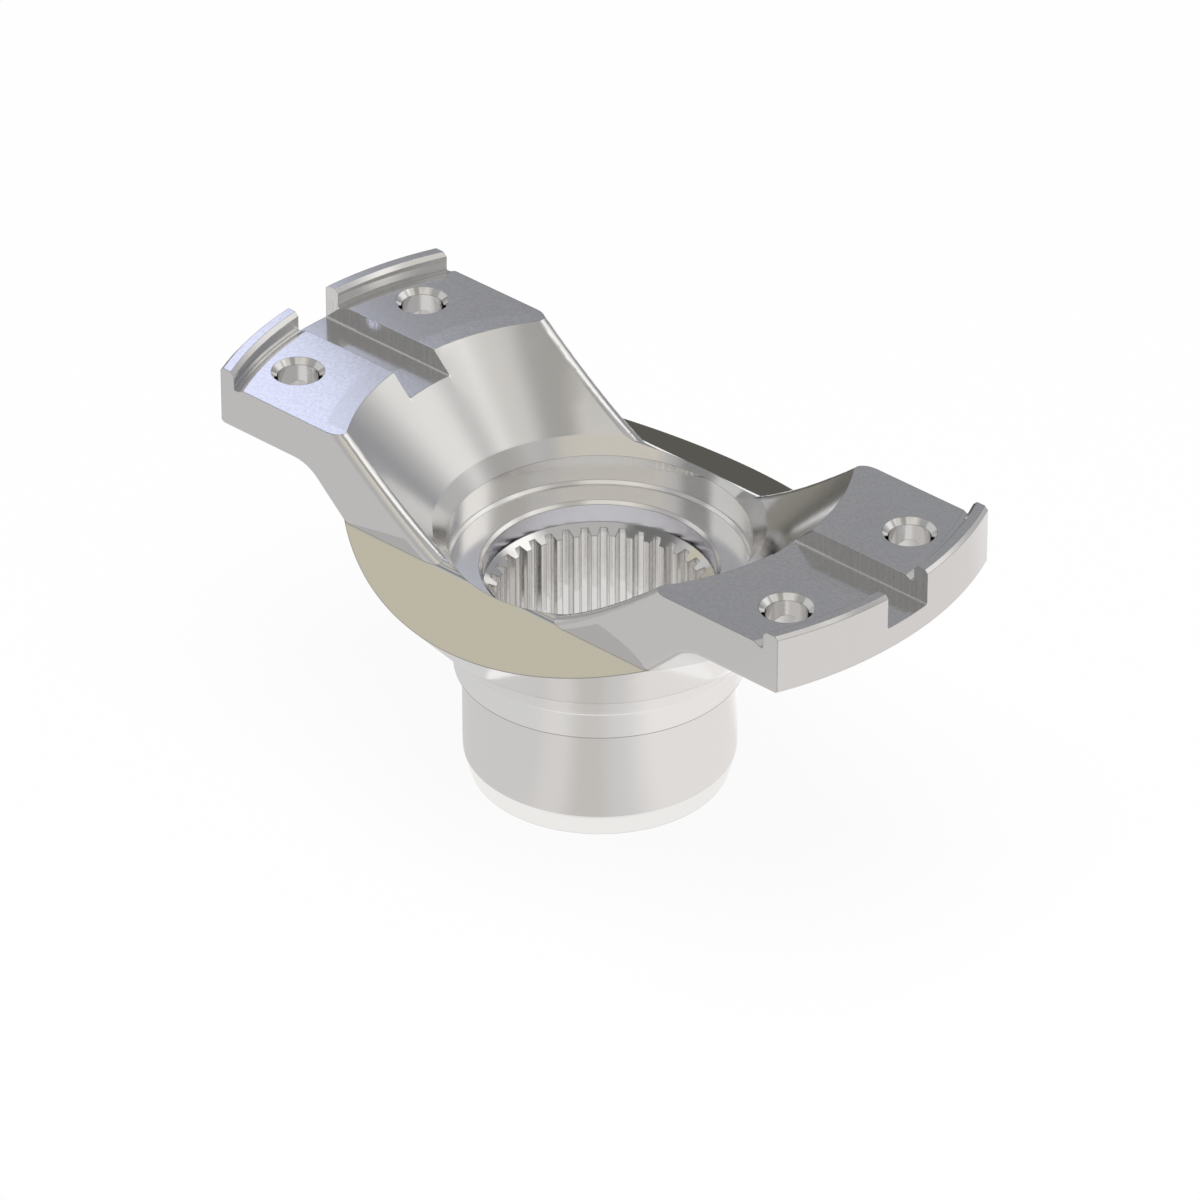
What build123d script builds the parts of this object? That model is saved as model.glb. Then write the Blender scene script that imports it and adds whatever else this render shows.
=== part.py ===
from build123d import *
import os
from math import pi, radians, tan

os.makedirs("parts", exist_ok=True)

# A forged end yoke for a heavy driveline, in millimetres.
# The origin is the centre of the hub's end face. Z runs up the bore, X runs along the two ears.

# Hub: the splined tube that slides over the shaft
hub_diameter = 74.6
hub_end_diameter = 70.8
hub_lead_length = 6.95
hub_length = 33.8
hub_mouth_diameter = 62.0
collar_diameter = 79.3
collar_length = 7.3
collar_round = 6.9

# Bowl: the flared body that carries the ears, and the flanks that open it at the two sides
bowl_outer_angle = 48.5
bowl_inner_angle = 44.8
flank_depth = 25.85
flank_angle = 23.6

# Ears: two flat arms with bearing pads, each closed by a curved lip that centres the bearing cups
yoke_width = 84.26
ear_diameter = 215.9
ear_thickness = 13.7
ear_root_diameter = 158.7
ear_root_round = 9.5
ear_foot_chamfer = 1.5
arm_inner_round = 3.0
arm_under_round = 1.6
pad_inner_diameter = 136.2
pad_outer_diameter = 200.8
lip_bore_diameter = 206.6
lip_height = 4.4
lip_outer_chamfer = 1.0
lip_inner_chamfer = 1.15
groove_depth = 0.9
groove_floor_width = 1.15

# Inside of the bowl: a sloping shoulder, the bore for the shaft nut, its flat seat, and the relief bore
shoulder_diameter = 89.7
shoulder_angle = 50.6
nut_bore_diameter = 82.4
nut_bore_length = 8.75
nut_seat_chamfer = 0.9
relief_diameter = 63.1
relief_depth = 6.45
relief_chamfer = 0.93
relief_floor_angle = 30.0

# Bearing seats: a cross key slot and two bolt holes on each ear
bolt_spacing_along = 174.63
bolt_spacing_across = 49.21
bolt_hole_diameter = 11.5
bolt_sink_diameter = 14.6
key_width = 15.8
key_depth = 5.85
key_foot_round = 0.5

# Internal spline: straight-sided grooves, one of them on the X axis
spline_teeth = 36
spline_minor_diameter = 55.56
spline_major_diameter = 59.9
groove_ratio_at_mouth = 0.65
groove_ratio_at_root = 0.35

# How far a cut starts outside the metal
overrun = 5.0


def rise(run, angle):
    """Height gained over a run at an angle in degrees."""
    return run * tan(radians(angle))


# Heights above the hub's end face, stacked up the outside and then down the inside
collar_top = hub_length + collar_length
ear_underside = collar_top + rise((ear_root_diameter - collar_diameter) / 2, bowl_outer_angle)
pad_top = ear_underside + ear_thickness
lip_top = pad_top + lip_height
shoulder_top = pad_top - rise((pad_inner_diameter - shoulder_diameter) / 2, bowl_inner_angle)
shoulder_foot = shoulder_top - rise((shoulder_diameter - nut_bore_diameter) / 2, shoulder_angle)
nut_seat = shoulder_foot - nut_bore_length
relief_floor = nut_seat - relief_depth
spline_top = relief_floor - rise((relief_diameter - spline_minor_diameter) / 2, relief_floor_angle)
flank_top = pad_top - flank_depth


def turned(*rows):
    """A solid of revolution about Z. Each row is a diameter, a height and the round of that corner."""
    points = [(diameter / 2, height) for diameter, height, _ in rows]
    rounds = [corner_round for _, _, corner_round in rows]
    outline = FilletPolyline(*points, radius=rounds, close=True)
    return revolve(Plane.XZ * make_face(outline), Axis.Z)


def along_arms(*points, rounds=0):
    """A bar of constant section along X, longer than the yoke. The points are places across and up."""
    outline = FilletPolyline(*points, radius=rounds, close=True)
    return extrude(Plane.YZ * make_face(outline), ear_diameter, both=True)


def raw_bowl():
    """The forging before it is trimmed or machined: a conical bowl with a thick rim on a solid stem."""
    stock_top = lip_top + overrun
    bowl_mouth = pad_inner_diameter + 2 * (stock_top - pad_top) / tan(radians(bowl_inner_angle))
    bowl_point = pad_top - rise(pad_inner_diameter / 2, bowl_inner_angle)
    return turned(
        (0, 0, 0),
        (collar_diameter, 0, 0),
        (collar_diameter, collar_top, collar_round),
        (ear_root_diameter, ear_underside, ear_root_round),
        (ear_diameter + 2 * overrun, ear_underside, 0),
        (ear_diameter + 2 * overrun, stock_top, 0),
        (bowl_mouth, stock_top, 0),
        (0, bowl_point, 0),
    )


def side_edges(solid):
    """The edges of a solid that lie in the two side planes of the arms."""
    return [edge for edge in solid.edges() if abs(abs(edge.center().Y) - yoke_width / 2) < 0.01]


def arms():
    """The strip of the forging between the two side planes, with the long edges of the arms rounded."""
    strip = raw_bowl() & Box(2 * ear_diameter, yoke_width, 3 * lip_top)
    inner_edges = [edge for edge in side_edges(strip)
                   if edge.geom_type == GeomType.HYPERBOLA and edge.bounding_box().max.Z > lip_top]
    strip = fillet(inner_edges, arm_inner_round)
    under_edges = [edge for edge in side_edges(strip) if edge.bounding_box().max.Z < pad_top]
    return fillet(under_edges, arm_under_round)


def trimmed_bowl():
    """The lower bowl under a ridge roof, whose two slopes are the flanks that start on the side planes."""
    side = yoke_width / 2
    reach = ear_diameter
    ridge = flank_top + rise(side, flank_angle)
    eaves = flank_top - rise(reach - side, flank_angle)
    sky = lip_top + 2 * overrun
    return raw_bowl() - along_arms((-reach, eaves), (0, ridge), (reach, eaves), (reach, sky), (-reach, sky))


def stock_over_pads():
    """What turning takes off over the pads, inside and over the lips, and round the ears."""
    sky = lip_top + 2 * overrun
    outside = ear_diameter + 4 * overrun
    return turned(
        (0, pad_top, 0),
        (pad_outer_diameter, pad_top, 0),
        (lip_bore_diameter - 2 * groove_floor_width, pad_top - groove_depth, 0),
        (lip_bore_diameter, pad_top - groove_depth, 0),
        (lip_bore_diameter, lip_top - lip_inner_chamfer, 0),
        (lip_bore_diameter + 2 * lip_inner_chamfer, lip_top, 0),
        (ear_diameter - 2 * lip_outer_chamfer, lip_top, 0),
        (ear_diameter, lip_top - lip_outer_chamfer, 0),
        (ear_diameter, ear_underside + ear_foot_chamfer, 0),
        (ear_diameter - 2 * ear_foot_chamfer - 2 * overrun, ear_underside - overrun, 0),
        (outside, ear_underside - overrun, 0),
        (outside, sky, 0),
        (0, sky, 0),
    )


def stock_in_bore():
    """What turning takes out of the middle, from the chamfered mouth of the spline up to the shoulder."""
    shoulder_run_out = shoulder_diameter + 2 * overrun / tan(radians(shoulder_angle))
    mouth_chamfer = (hub_mouth_diameter - spline_minor_diameter) / 2
    return turned(
        (0, -overrun, 0),
        (hub_mouth_diameter + 2 * overrun, -overrun, 0),
        (spline_minor_diameter, mouth_chamfer, 0),
        (spline_minor_diameter, spline_top, 0),
        (relief_diameter, relief_floor, 0),
        (relief_diameter, nut_seat - relief_chamfer, 0),
        (relief_diameter + 2 * relief_chamfer, nut_seat, 0),
        (nut_bore_diameter - 2 * nut_seat_chamfer, nut_seat, 0),
        (nut_bore_diameter, nut_seat + nut_seat_chamfer, 0),
        (nut_bore_diameter, shoulder_foot, 0),
        (shoulder_run_out, shoulder_top + overrun, 0),
        (0, shoulder_top + overrun, 0),
    )


def stock_round_hub():
    """What turning takes off the outside of the hub, below the collar."""
    lead_taper = (hub_diameter - hub_end_diameter) / hub_lead_length
    outside = collar_diameter + 2 * overrun
    return turned(
        (hub_end_diameter - overrun * lead_taper, -overrun, 0),
        (hub_diameter, hub_lead_length, 0),
        (hub_diameter, hub_length, 0),
        (outside, hub_length, 0),
        (outside, -overrun, 0),
    )


def key_slot():
    """One slot across both ears and lips, for the keys of the bearing cups."""
    side = key_width / 2
    floor = pad_top - key_depth
    sky = lip_top + overrun
    return along_arms(
        (-side, floor), (side, floor), (side, sky), (-side, sky),
        rounds=[key_foot_round, key_foot_round, 0, 0],
    )


def bolt_holes():
    """Four countersunk through holes for the bolts of the bearing cups."""
    sink_depth = (bolt_sink_diameter - bolt_hole_diameter) / 2
    hole = turned(
        (0, ear_underside - overrun, 0),
        (bolt_hole_diameter, ear_underside - overrun, 0),
        (bolt_hole_diameter, pad_top - sink_depth, 0),
        (bolt_sink_diameter + 2 * overrun, pad_top + overrun, 0),
        (0, pad_top + overrun, 0),
    )
    return [place * hole for place in GridLocations(bolt_spacing_along, bolt_spacing_across, 2, 2)]


def spline_grooves():
    """The grooves of the spline as one prism, from below the hub up into the relief bore."""
    root_radius = spline_major_diameter / 2
    mouth_radius = spline_minor_diameter / 2
    root_half = groove_ratio_at_root * pi * root_radius / spline_teeth
    mouth_half = groove_ratio_at_mouth * pi * mouth_radius / spline_teeth
    groove = make_face(Polyline(
        (0, 0), (mouth_radius, -mouth_half), (root_radius, -root_half),
        (root_radius, root_half), (mouth_radius, mouth_half), close=True,
    ))
    star = Sketch() + [place * groove for place in PolarLocations(0, spline_teeth)]
    return Pos(0, 0, -overrun) * extrude(star, relief_floor + overrun)


forging = arms() + trimmed_bowl()
turned_yoke = forging - stock_over_pads() - stock_in_bore() - stock_round_hub()
yoke = turned_yoke - key_slot() - bolt_holes() - spline_grooves()
yoke.label = "forged_yoke"
export_step(yoke, "parts/forged_yoke.step")
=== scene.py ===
import math
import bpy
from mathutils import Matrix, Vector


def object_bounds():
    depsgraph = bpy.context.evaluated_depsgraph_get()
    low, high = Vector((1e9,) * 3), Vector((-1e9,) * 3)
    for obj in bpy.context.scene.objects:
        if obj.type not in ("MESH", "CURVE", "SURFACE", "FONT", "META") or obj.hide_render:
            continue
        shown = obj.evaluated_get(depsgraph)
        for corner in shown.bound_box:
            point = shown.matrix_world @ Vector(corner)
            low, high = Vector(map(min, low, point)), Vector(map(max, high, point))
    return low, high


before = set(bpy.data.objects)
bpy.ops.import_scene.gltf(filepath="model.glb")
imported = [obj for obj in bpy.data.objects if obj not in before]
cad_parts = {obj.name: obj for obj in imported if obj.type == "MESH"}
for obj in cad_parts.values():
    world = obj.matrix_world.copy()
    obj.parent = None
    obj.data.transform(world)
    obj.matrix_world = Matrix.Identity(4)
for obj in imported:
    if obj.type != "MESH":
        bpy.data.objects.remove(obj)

from types import SimpleNamespace

import bpy
from mathutils import Vector

# The yoke
# One steel forging, machined where other parts sit on it. The hub and the spline are turned and cut
# bright, the pads, lips and nut seat are left satin, and the slots show the cutter's upright lines.
# The collar, the bowl's outer wall and the lead are painted brighter as highlight, and thin lines of painted
# shade run along every corner.
solid_low, solid_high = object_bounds()
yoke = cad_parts["forged_yoke"]

# Heights above the hub's end face, in metres. The pads lie a lip's height below the top, and the slots'
# floors a slot's depth below the pads.
lead_height = 0.00695
collar_foot_height = 0.0338
collar_top_height = 0.041
relief_foot_height = 0.0548
inside_foot_height = 0.0569
relief_low = 0.057
relief_high = 0.0624
satin_height = 0.06
pocket_low = 0.05705
pocket_high = 0.07225
flank_height = 0.0735
seat_marks_height = 0.08
pad_marks_height = 0.09
lip_height = 0.0044
slot_depth = 0.00585
pad_height = solid_high[2] - lip_height
slot_floor_height = pad_height - slot_depth

# Distances from the bore's axis, and from the plane through the middle of both ears
wall_middle_radius = 0.033
pocket_radius = 0.0415
inside_radius = 0.075
slot_half = 0.0079
side_plane = 0.04213

# How the bowl's wall leans out for its rise, how far the flanks slope, and the rounds on the edges
wall_lean = 0.95
flank_angle = math.radians(23.6)
flank_upright = math.cos(flank_angle)
arm_round = 0.003
corner_round = 0.0004
corner_samples = 3

# How fast one finish gives way to the next, in metres
hard_edge = 0.0001
soft_edge = 0.001

# How far a face has to be turned up: 1 is level and 0 upright
level_upright = 0.98
cone_upright = 0.3
underside_upright = -0.2
upright_margin = 0.01

plain_steel = (0.76, 0.755, 0.75, 1.0)
bright_steel = (0.9, 0.89, 0.88, 1.0)
cool_steel = (0.87, 0.87, 0.94, 1.0)
# The skin's steel, brighter than plain steel as painted highlight where the collar, the bowl's outer wall
# and the lead mirror the table
skin_steel_and_highlight = (0.96, 0.955, 0.95, 1.0)
dull_steel = (0.5, 0.5, 0.5, 1.0)
# Painted shade, for the thin dark lines at the corners and under the collar's rim
painted_shade = (0.2, 0.195, 0.19, 1.0)

# How strongly the marks and the painted shade cover the steel, and how far a rounded normal has turned
# away where the painted shade at a corner starts and where it is full, as cosines
pad_marks = 0.26
seat_marks_share = 0.25
cutter_marks = 0.2
rim_shade = 0.6
corner_shade = 0.75
corner_start = 0.996
corner_full = 0.93

# Roughness: from glossy to worn on polished steel, more of it inside the bowl, and from worn to
# glossy on the satin faces
polished_glossy = 0.05
polished_worn = 0.065
inside_dullness = 0.12
satin_worn = 0.141
satin_glossy = 0.127

# Noise scales per metre: blotches and speckle make the mottle, the others are tool marks. Each range
# is the part of a noise over which a mark or a roughness changes.
blotch_scale = 1100.0
blotch_detail = 2.0
speckle_scale = 2800.0
blotch_share = 0.6
mark_range = (0.4, 0.6)
polished_range = (0.3, 0.7)
satin_range = (0.35, 0.65)
cutter_scale = 1400.0
cutter_stretch = (1.0, 1.0, 0.03)
cutter_depth = 4.0
turning_scale = 900.0
turning_stretch = (0.02, 0.02, 1.0)
groove_strength = 0.04
groove_depth = 0.0001


def plug(tree, socket, value):
    """Links another node's socket to an input, or gives the input a number or a colour."""
    if isinstance(value, bpy.types.NodeSocket):
        tree.links.new(value, socket)
    else:
        socket.default_value = value


def math_node(tree, operation, *values):
    """A Math node. Each value is a number or a socket of another node."""
    node = tree.nodes.new("ShaderNodeMath")
    node.operation = operation
    for socket, value in zip(node.inputs, values):
        plug(tree, socket, value)
    return node.outputs[0]


def product(tree, first, *others):
    """The product of several values, each a number or a socket."""
    for other in others:
        first = math_node(tree, "MULTIPLY", first, other)
    return first


def ramp(tree, value, low, high, at_low=0.0, at_high=1.0):
    """A smooth step from one value to another while the input goes from low to high."""
    node = tree.nodes.new("ShaderNodeMapRange")
    node.interpolation_type = "SMOOTHSTEP"
    tree.links.new(value, node.inputs["Value"])
    node.inputs["From Min"].default_value = low
    node.inputs["From Max"].default_value = high
    node.inputs["To Min"].default_value = at_low
    node.inputs["To Max"].default_value = at_high
    return node.outputs["Result"]


def between(tree, value, low, high):
    """1 from low to high, and 0 from a hard edge's width further out."""
    away = math_node(tree, "ABSOLUTE", math_node(tree, "SUBTRACT", value, (low + high) / 2))
    half = (high - low) / 2
    return ramp(tree, away, half + hard_edge, half)


def paint_over(tree, cover, under, colour):
    """Mixes a colour over another by a cover from 0 to 1. Each colour is a value or a socket."""
    node = tree.nodes.new("ShaderNodeMix")
    node.data_type = "RGBA"
    tree.links.new(cover, node.inputs["Factor"])
    plug(tree, node.inputs["A"], under)
    plug(tree, node.inputs["B"], colour)
    return node.outputs["Result"]


def parts_of(tree, vector):
    """The x, y and z sockets of a vector."""
    node = tree.nodes.new("ShaderNodeSeparateXYZ")
    tree.links.new(vector, node.inputs["Vector"])
    return node.outputs


def from_axis(tree, x, y):
    """The distance from the Z axis: the root of x squared plus y squared."""
    return math_node(tree, "SQRT", math_node(tree, "ADD", product(tree, x, x), product(tree, y, y)))


def grain(tree, place, scale, detail=1.0, stretch=(1.0, 1.0, 1.0)):
    """Noise on the part's own coordinates, drawn out along an axis where its stretch is small."""
    turn = tree.nodes.new("ShaderNodeMapping")
    turn.inputs["Scale"].default_value = stretch
    tree.links.new(place, turn.inputs["Vector"])
    noise = tree.nodes.new("ShaderNodeTexNoise")
    noise.inputs["Scale"].default_value = scale
    noise.inputs["Detail"].default_value = detail
    tree.links.new(turn.outputs["Vector"], noise.inputs["Vector"])
    return noise.outputs["Fac"]


def read_spot(tree):
    """Where a point of the yoke lies, its depth inside the side planes, and how its face is turned."""
    place = tree.nodes.new("ShaderNodeTexCoord").outputs["Object"]
    facing = tree.nodes.new("ShaderNodeNewGeometry").outputs["True Normal"]
    x, y, z = parts_of(tree, place)
    off_middle = math_node(tree, "ABSOLUTE", y)
    return SimpleNamespace(
        place=place, y=y, z=z, off_middle=off_middle, radius=from_axis(tree, x, y),
        depth=math_node(tree, "SUBTRACT", side_plane, off_middle),
        facing=facing, upright=parts_of(tree, facing)[2],
    )


def slot_walls(tree, spot):
    """The two walls of each key slot, up to the ends of the lips."""
    wall = between(tree, spot.off_middle, slot_half - 2 * hard_edge, slot_half + 2 * hard_edge)
    return product(tree, wall, ramp(tree, spot.z, slot_floor_height - soft_edge, slot_floor_height))


def bright_zone(tree, spot):
    """The hub and the spline, below the relief bore, and the pocket that the shaft nut sits in."""
    below_relief = ramp(tree, spot.z, relief_foot_height, relief_foot_height - 2 * hard_edge)
    pocket = product(tree, between(tree, spot.z, pocket_low, pocket_high),
                     ramp(tree, spot.radius, pocket_radius + soft_edge, pocket_radius))
    return math_node(tree, "MAXIMUM", below_relief, pocket)


def skin_zone(tree, spot):
    """The collar and the bowl's outer wall: past a leaning line through the wall, and under the flanks."""
    wall_line = wall_middle_radius - wall_lean * collar_top_height
    past_line = math_node(tree, "SUBTRACT", spot.radius, product(tree, spot.z, wall_lean))
    outside = ramp(tree, past_line, wall_line, wall_line + soft_edge)
    flank_fall = product(tree, math_node(tree, "MINIMUM", spot.depth, 0.0), -math.tan(flank_angle))
    under_flank = ramp(tree, math_node(tree, "ADD", spot.z, flank_fall), flank_height,
                       flank_height - 3 * hard_edge)
    above_hub = ramp(tree, spot.z, collar_foot_height - hard_edge, collar_foot_height)
    off_bore = math_node(tree, "GREATER_THAN", spot.radius, wall_middle_radius)
    return product(tree, outside, under_flank, above_hub, off_bore)


def inside_zone(tree, spot):
    """The bowl's cone, the shoulder and the nut bore, without the arms' rounds and the slots' walls."""
    height = between(tree, spot.z, inside_foot_height, pad_height)
    reach = ramp(tree, spot.radius, inside_radius, inside_radius - soft_edge)
    off_round = ramp(tree, spot.depth, arm_round, arm_round + soft_edge)
    cone_or_bore = math_node(tree, "MAXIMUM", math_node(tree, "GREATER_THAN", spot.upright, cone_upright),
                             math_node(tree, "LESS_THAN", spot.z, flank_height))
    off_skin = math_node(tree, "GREATER_THAN", spot.upright, underside_upright)
    return product(tree, height, reach, off_round, cone_or_bore, off_skin)


def satin_zone(tree, spot):
    """The level faces above the spline: the nut seat, the pads, the slots' floors and the lips' tops."""
    return product(tree, ramp(tree, spot.upright, level_upright, level_upright + upright_margin),
                   ramp(tree, spot.z, satin_height, satin_height + soft_edge))


def relief_zone(tree, spot):
    """The wall of the relief bore."""
    return product(tree, between(tree, spot.z, relief_low, relief_high),
                   math_node(tree, "LESS_THAN", spot.radius, wall_middle_radius))


def tool_marks(tree, spot):
    """Noise for the marks: soft blotches, their mix with fine speckle, and the cutter's upright lines."""
    blotches = grain(tree, spot.place, blotch_scale, blotch_detail)
    speckle = grain(tree, spot.place, speckle_scale)
    mottle = math_node(tree, "ADD", product(tree, blotches, blotch_share),
                       product(tree, speckle, 1.0 - blotch_share))
    cutter = grain(tree, spot.place, cutter_scale, stretch=cutter_stretch)
    return SimpleNamespace(blotches=blotches, mottle=mottle, cutter=cutter)


def dark_lines(tree, spot, rounded):
    """Painted shade: thin dark lines at every corner, where the rounded normal leaves the face's own, and at
    the collar's foot, where the collar shades the hub.
    """
    agreement = tree.nodes.new("ShaderNodeVectorMath")
    agreement.operation = "DOT_PRODUCT"
    tree.links.new(rounded, agreement.inputs[0])
    tree.links.new(spot.facing, agreement.inputs[1])
    corner = ramp(tree, agreement.outputs["Value"], corner_start, corner_full, 0.0, corner_shade)
    # Painted shade under the collar's rim
    rim = between(tree, spot.z, collar_foot_height - 2 * hard_edge, collar_foot_height + 2 * hard_edge)
    off_bore = math_node(tree, "GREATER_THAN", spot.radius, wall_middle_radius)
    return math_node(tree, "MAXIMUM", corner, product(tree, rim, off_bore, rim_shade))


def steel_colour(tree, spot, zones, marks, rounded):
    """Each zone's steel, dull marks on the satin faces and milled walls, and painted shade as thin dark
    lines.
    """
    bright = math_node(tree, "MAXIMUM", zones.bright, zones.slots)
    colour = paint_over(tree, bright, plain_steel, bright_steel)
    colour = paint_over(tree, relief_zone(tree, spot), colour, cool_steel)
    # Painted highlight: the collar and the bowl's outer wall get the brighter skin steel
    colour = paint_over(tree, skin_zone(tree, spot), colour, skin_steel_and_highlight)
    # Painted highlight on the lead as well
    lead = ramp(tree, spot.z, lead_height + hard_edge, lead_height - hard_edge)
    colour = paint_over(tree, lead, colour, skin_steel_and_highlight)
    pad_share = ramp(tree, spot.z, seat_marks_height, pad_marks_height, seat_marks_share, 1.0)
    mottled = product(tree, zones.satin, pad_share, ramp(tree, marks.mottle, *mark_range, pad_marks, 0.0))
    colour = paint_over(tree, mottled, colour, dull_steel)
    lined = product(tree, zones.milled, ramp(tree, marks.cutter, *mark_range, 0.0, cutter_marks))
    colour = paint_over(tree, lined, colour, dull_steel)
    # Painted shade: the thin dark lines at the corners and under the collar
    return paint_over(tree, dark_lines(tree, spot, rounded), colour, painted_shade)


def steel_roughness(tree, spot, zones, marks):
    """Close to polished, softer inside the bowl, and softer again and mottled on the satin faces."""
    polished = ramp(tree, marks.blotches, *polished_range, polished_glossy, polished_worn)
    inside = product(tree, inside_zone(tree, spot), inside_dullness)
    satin = product(tree, zones.satin, ramp(tree, marks.mottle, *satin_range, satin_worn, satin_glossy))
    return math_node(tree, "MAXIMUM", math_node(tree, "ADD", polished, inside), satin)


def turned_strips(tree, spot, normal):
    """The narrow strips between the side planes and the bore's rim turn over like the arms' long edges.

    The sideways share falls from 1 at the side plane to 0 at the round's width inside it. The upward
    share is the root of 1 minus its square, as on a quarter circle.
    """
    flank = between(tree, spot.upright, flank_upright - upright_margin, flank_upright + upright_margin)
    strip = product(tree, flank, math_node(tree, "GREATER_THAN", spot.depth, 0.0),
                    ramp(tree, spot.z, pad_height - soft_edge, pad_height - 2 * soft_edge))
    sideways = math_node(tree, "SUBTRACT", 1.0, product(tree, spot.depth, 1 / arm_round))
    sideways = math_node(tree, "MINIMUM", math_node(tree, "MAXIMUM", sideways, 0.0), 1.0)
    upward = math_node(tree, "SQRT", math_node(tree, "SUBTRACT", 1.0, product(tree, sideways, sideways)))
    turned = tree.nodes.new("ShaderNodeCombineXYZ")
    tree.links.new(product(tree, sideways, math_node(tree, "SIGN", spot.y)), turned.inputs["Y"])
    tree.links.new(upward, turned.inputs["Z"])
    return paint_over(tree, strip, normal, turned.outputs["Vector"])


def tool_grooves(tree, spot, zones, marks, normal):
    """Bump: turning lines round the axis, and the cutter's upright lines instead on the slots' walls."""
    turning = grain(tree, spot.place, turning_scale, stretch=turning_stretch)
    upright_lines = product(tree, math_node(tree, "SUBTRACT", marks.cutter, turning), cutter_depth)
    bump = tree.nodes.new("ShaderNodeBump")
    bump.inputs["Strength"].default_value = groove_strength
    bump.inputs["Distance"].default_value = groove_depth
    tree.links.new(math_node(tree, "ADD", turning, product(tree, zones.milled, upright_lines)),
                   bump.inputs["Height"])
    tree.links.new(normal, bump.inputs["Normal"])
    return bump.outputs["Normal"]


def yoke_steel():
    """Bare steel, brighter on the hub, with painted highlight under the bowl and painted shade along the
    corners, mottled on the level faces.
    """
    steel = bpy.data.materials.new("yoke_steel")
    steel.use_nodes = True
    tree = steel.node_tree
    spot = read_spot(tree)
    marks = tool_marks(tree, spot)
    slots = slot_walls(tree, spot)
    below_pads = ramp(tree, spot.z, pad_height + 2 * hard_edge, pad_height)
    zones = SimpleNamespace(bright=bright_zone(tree, spot), satin=satin_zone(tree, spot), slots=slots,
                            milled=product(tree, slots, below_pads))
    corners = tree.nodes.new("ShaderNodeBevel")
    corners.samples = corner_samples
    corners.inputs["Radius"].default_value = corner_round
    rounded = corners.outputs["Normal"]
    normal = tool_grooves(tree, spot, zones, marks, turned_strips(tree, spot, rounded))
    surface = tree.nodes["Principled BSDF"]
    surface.inputs["Metallic"].default_value = 1.0
    tree.links.new(steel_colour(tree, spot, zones, marks, rounded), surface.inputs["Base Color"])
    tree.links.new(steel_roughness(tree, spot, zones, marks), surface.inputs["Roughness"])
    tree.links.new(normal, surface.inputs["Normal"])
    return steel


yoke.material_slots[0].material = yoke_steel()

# The table top
# A plain white surface under the hub, wide enough to fill every view. The camera sees a bright white
# sweep that keeps some of the yoke's shadow. The steel mirrors it with painted light: glowing wedges to
# the right and behind, a pool of light at the hub's foot, and painted shade inside the bore.
table_half = 3.0
table_gap = 0.00005
sweep_paint = (0.95, 0.95, 0.95, 1.0)
sweep_roughness = 0.9
sweep_share = 0.92
sweep_glow = (1.0, 1.0, 1.0, 1.0)
table_glow = (0.64, 0.635, 0.635, 1.0)
foot_glow = (0.87, 0.86, 0.845, 1.0)
foot_radius = 0.0395
foot_fade = 0.002
bore_glow = (0.76, 0.76, 0.755, 1.0)
bore_shade_radius = 0.03
bore_shade_fade = 0.004

# Azimuth, half width, softness and brightness of each wedge of painted light on the table, in degrees
wedges = {
    "right": (25, 50, 14, (0.82, 0.795, 0.785)),
    "back": (112, 45, 14, (1.05, 1.05, 1.05)),
    "front_glint": (-76, 9, 8, (0.7, 0.68, 0.665)),
    "front_dark": (-54, 10, 7, (0.58, 0.56, 0.54)),
}


def flat_square(name, half):
    """A flat square round the origin."""
    corners = [(-half, -half, 0), (half, -half, 0), (half, half, 0), (-half, half, 0)]
    mesh = bpy.data.meshes.new(name)
    mesh.from_pydata(corners, [], [(0, 1, 2, 3)])
    square = bpy.data.objects.new(name, mesh)
    bpy.context.scene.collection.objects.link(square)
    return square


def band(tree, angle, centre, half, soft):
    """1 within half of the centre angle and 0 outside, with soft edges. All but the angle are degrees."""
    offset = math_node(tree, "SUBTRACT", angle, math.radians(centre))
    offset = math_node(tree, "WRAP", offset, math.pi, -math.pi)
    away = math_node(tree, "ABSOLUTE", offset)
    return ramp(tree, away, math.radians(half + soft), math.radians(half - soft))


def glow(tree, colour, strength=1.0):
    """Plain light of a colour and a strength, each a value or a socket."""
    node = tree.nodes.new("ShaderNodeEmission")
    plug(tree, node.inputs["Color"], colour)
    plug(tree, node.inputs["Strength"], strength)
    return node.outputs["Emission"]


def mix_shaders(tree, share, under, over):
    """Lays a shader over another by a share from 0 to 1."""
    node = tree.nodes.new("ShaderNodeMixShader")
    tree.links.new(share, node.inputs["Fac"])
    tree.links.new(under, node.inputs[1])
    tree.links.new(over, node.inputs[2])
    return node.outputs["Shader"]


def table_shine(tree):
    """The table's painted light as the steel mirrors it: soft wedges round the yoke, a pool of light at its
    foot, and painted shade in the bore.
    """
    x, y, _ = parts_of(tree, tree.nodes.new("ShaderNodeTexCoord").outputs["Object"])
    azimuth = math_node(tree, "ARCTAN2", y, x)
    radius = from_axis(tree, x, y)
    colour = table_glow
    for centre, half, soft, light in wedges.values():
        colour = paint_over(tree, band(tree, azimuth, centre, half, soft), colour, (*light, 1.0))
    colour = paint_over(tree, ramp(tree, radius, foot_radius + foot_fade, foot_radius), colour, foot_glow)
    in_bore = ramp(tree, radius, bore_shade_radius + bore_shade_fade, bore_shade_radius)
    return paint_over(tree, in_bore, colour, bore_glow)


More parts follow.
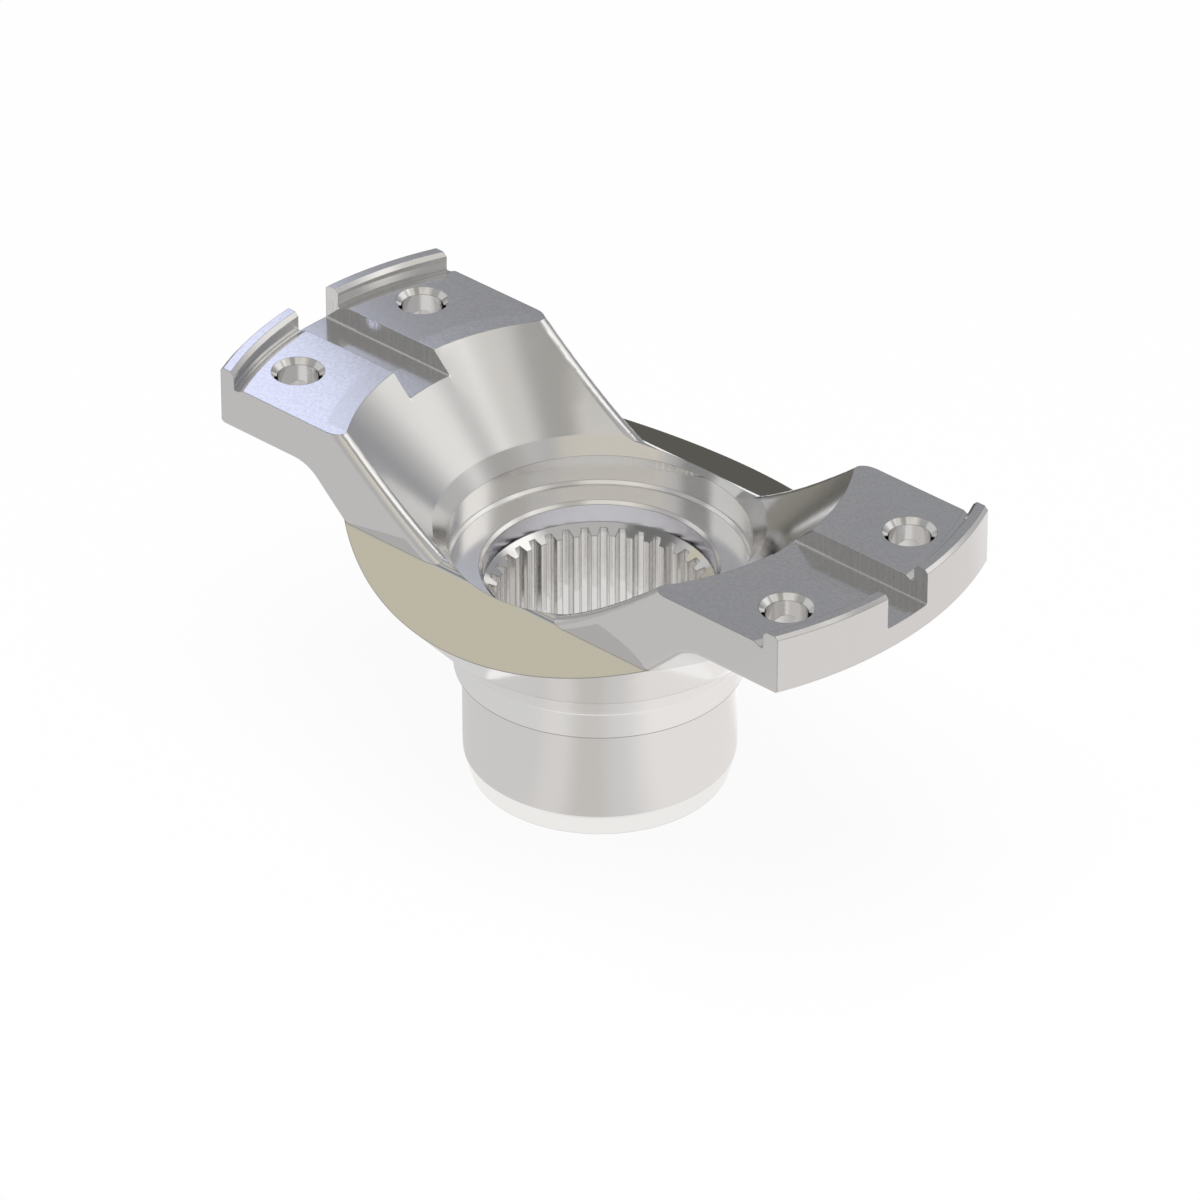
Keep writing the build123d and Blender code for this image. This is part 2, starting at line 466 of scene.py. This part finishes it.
def sweep_white():
    """Matt white paint, mixed with its own glow for what the camera and the reflections see."""
    paint = bpy.data.materials.new("sweep_white")
    paint.use_nodes = True
    tree = paint.node_tree
    surface = tree.nodes["Principled BSDF"]
    surface.inputs["Base Color"].default_value = sweep_paint
    surface.inputs["Roughness"].default_value = sweep_roughness
    surface.inputs["Specular IOR Level"].default_value = 0.0
    rays = tree.nodes.new("ShaderNodeLightPath")
    to_camera = product(tree, rays.outputs["Is Camera Ray"], sweep_share)
    sweep = mix_shaders(tree, to_camera, surface.outputs["BSDF"], glow(tree, sweep_glow))
    # The steel sees the table's painted light and shade instead of its paint
    sweep = mix_shaders(tree, rays.outputs["Is Glossy Ray"], sweep, glow(tree, table_shine(tree)))
    tree.links.new(sweep, tree.nodes["Material Output"].inputs["Surface"])
    return paint


table = flat_square("table_top", table_half)
table.location = (0.0, 0.0, -table_gap)
table.data.materials.append(sweep_white())

# The room
# Soft light from all round, painted over a grey room as large screens and walls. Each is given by its
# azimuth and half width, its elevation and half height, the softness of its edges, and its brightness.
room_grey = (0.55, 0.545, 0.54)
room_white = (1.0, 1.0, 1.0)
screens = {
    "back_wall": (125, 43, 12, 32, 6, (0.355, 0.36, 0.38)),
    "front_wall": (-57, 42, 46, 12, 8, (0.73, 0.69, 0.61)),
    "front_top": (-60, 30, 55, 4, 3, (0.82, 0.8, 0.76)),
    "dark_strip": (-10, 17, 62, 10, 5, (0.41, 0.4, 0.38)),
    "dark_top_left": (-150, 18, 66, 13, 6, (0.2, 0.2, 0.2)),
    "dark_left": (-126, 14, 28, 14, 7, (0.31, 0.31, 0.31)),
    "grey_left": (-128, 20, 47, 7, 4, (0.44, 0.44, 0.44)),
    "left_wall": (-164, 22, 30, 18, 4, (0.68, 0.68, 0.68)),
    "warm_wall": (178, 9, 55, 18, 4, (0.66, 0.62, 0.5)),
    "glow_top": (18, 16, 50, 8, 6, (0.78, 0.76, 0.73)),
    "dark_gap": (22, 15, 30, 8, 6, (0.44, 0.43, 0.41)),
    "window_low": (62, 17, 36, 13, 5, (0.98, 0.97, 0.95)),
    "window_top": (53, 27, 53, 9, 5, (1.28, 1.26, 1.23)),
}


def painted_walls(tree):
    """The grey of the room, painted over by each screen in turn."""
    x, y, z = parts_of(tree, tree.nodes.new("ShaderNodeTexCoord").outputs["Generated"])
    azimuth = math_node(tree, "ARCTAN2", y, x)
    elevation = math_node(tree, "ARCSINE", z)
    colour = (*room_grey, 1.0)
    for centre, half_width, height, half_height, soft, light in screens.values():
        cover = product(tree, band(tree, azimuth, centre, half_width, soft),
                        band(tree, elevation, height, half_height, soft))
        colour = paint_over(tree, cover, colour, (*light, 1.0))
    return colour


def backdrop(tree, colour):
    """A background of one colour, a value or a socket."""
    node = tree.nodes.new("ShaderNodeBackground")
    plug(tree, node.inputs["Color"], colour)
    return node.outputs["Background"]


def grey_room():
    """A world that the camera sees as white, the steel as the painted walls, and all else as plain grey."""
    room = bpy.data.worlds.new("grey_room")
    room.use_nodes = True
    tree = room.node_tree
    tree.nodes.remove(tree.nodes["Background"])
    rays = tree.nodes.new("ShaderNodeLightPath")
    plain = backdrop(tree, (*room_grey, 1.0))
    mirrored = mix_shaders(tree, rays.outputs["Is Glossy Ray"], plain, backdrop(tree, painted_walls(tree)))
    seen = mix_shaders(tree, rays.outputs["Is Camera Ray"], mirrored, backdrop(tree, (*room_white, 1.0)))
    tree.links.new(seen, tree.nodes["World Output"].inputs["Surface"])
    return room


bpy.context.scene.world = grey_room()
bpy.context.scene.view_settings.view_transform = "Standard"

# The black card
# A card stands on the table behind the far arm, where the steel would otherwise mirror the bright
# table up to its edge. It is darkest in its right half, and only the steel sees it.
card_distance = 0.3
card_azimuth = 138
card_half_width = 0.16
card_right_height = 0.05
card_left_height = 0.15
card_colour = (1.0, 0.96, 0.84, 1.0)
card_right_glow = 0.12
card_left_glow = 0.28
card_fade_width = 0.09


def level_way(azimuth):
    """The level direction at an azimuth in degrees, from +X towards +Y."""
    return Vector((math.cos(math.radians(azimuth)), math.sin(math.radians(azimuth)), 0.0))


def card_black(left):
    """Near black, which glows a little more from the card's middle towards its left end."""
    black = bpy.data.materials.new("card_black")
    black.use_nodes = True
    tree = black.node_tree
    reach = tree.nodes.new("ShaderNodeVectorMath")
    reach.operation = "DOT_PRODUCT"
    reach.inputs[1].default_value = left
    tree.links.new(tree.nodes.new("ShaderNodeTexCoord").outputs["Object"], reach.inputs[0])
    strength = ramp(tree, reach.outputs["Value"], 0.0, card_fade_width, card_right_glow, card_left_glow)
    tree.links.new(glow(tree, card_colour, strength), tree.nodes["Material Output"].inputs["Surface"])
    return black


def standing_card():
    """An upright card across its azimuth, higher at its left end."""
    left = level_way(card_azimuth + 90)
    foot = level_way(card_azimuth) * card_distance
    along = left * card_half_width
    left_top = foot + along + Vector((0, 0, card_left_height))
    right_top = foot - along + Vector((0, 0, card_right_height))
    mesh = bpy.data.meshes.new("black_card")
    mesh.from_pydata([foot - along, foot + along, left_top, right_top], [], [(0, 1, 2, 3)])
    mesh.materials.append(card_black(left))
    card = bpy.data.objects.new("black_card", mesh)
    bpy.context.scene.collection.objects.link(card)
    card.visible_camera = False
    card.visible_diffuse = False
    card.visible_shadow = False
    return card


card = standing_card()

# Lamps
# A large soft lamp overhead lights the table, and a small cool screen hangs where the near pad of
# the left ear mirrors it.
overhead_size = 1.2
overhead_watts = 15.0
overhead_place = (0.2, -0.2, 1.6)
cool_width = 0.3
cool_depth = 0.14
cool_watts = 0.135
cool_place = (-0.468, 0.288, 0.4)
cool_turn = math.radians(-22)
cool_blue = (0.673, 0.723, 1.0)


def soft_lamp(name, width, depth, watts, place):
    """A level rectangle that shines straight down, and that the camera doesn't see."""
    light = bpy.data.lights.new(name, "AREA")
    light.shape = "RECTANGLE"
    light.size = width
    light.size_y = depth
    light.energy = watts
    lamp = bpy.data.objects.new(name, light)
    lamp.location = place
    lamp.visible_camera = False
    bpy.context.scene.collection.objects.link(lamp)
    return lamp


overhead = soft_lamp("overhead", overhead_size, overhead_size, overhead_watts, overhead_place)
overhead.visible_glossy = False

cool_screen = soft_lamp("cool_screen", cool_width, cool_depth, cool_watts, cool_place)
cool_screen.rotation_euler = (0.0, 0.0, cool_turn)
cool_screen.data.color = cool_blue
cool_screen.visible_diffuse = False

# Camera
# A long lens, high up in front of the arms' flat side and towards the ear at +X. It stands where the
# photo's circles and straight edges put it, and frames the yoke as the photo does.
camera_azimuth = math.radians(41.9515)
camera_elevation = math.radians(33.0874)
camera_place = (1.4387, -1.6005, 1.4543)
camera_lens = 286.56
back = Vector((math.sin(camera_azimuth) * math.cos(camera_elevation),
               -math.cos(camera_azimuth) * math.cos(camera_elevation), math.sin(camera_elevation)))
camera = bpy.data.objects.new("camera", bpy.data.cameras.new("camera"))
camera.data.sensor_width = 36.0
camera.data.lens = camera_lens
camera.data.clip_start = 0.05
camera.data.clip_end = 20.0
camera.location = camera_place
camera.rotation_mode = "QUATERNION"
camera.rotation_quaternion = (-back).to_track_quat("-Z", "Y")
bpy.context.scene.collection.objects.link(camera)
bpy.context.scene.camera = camera
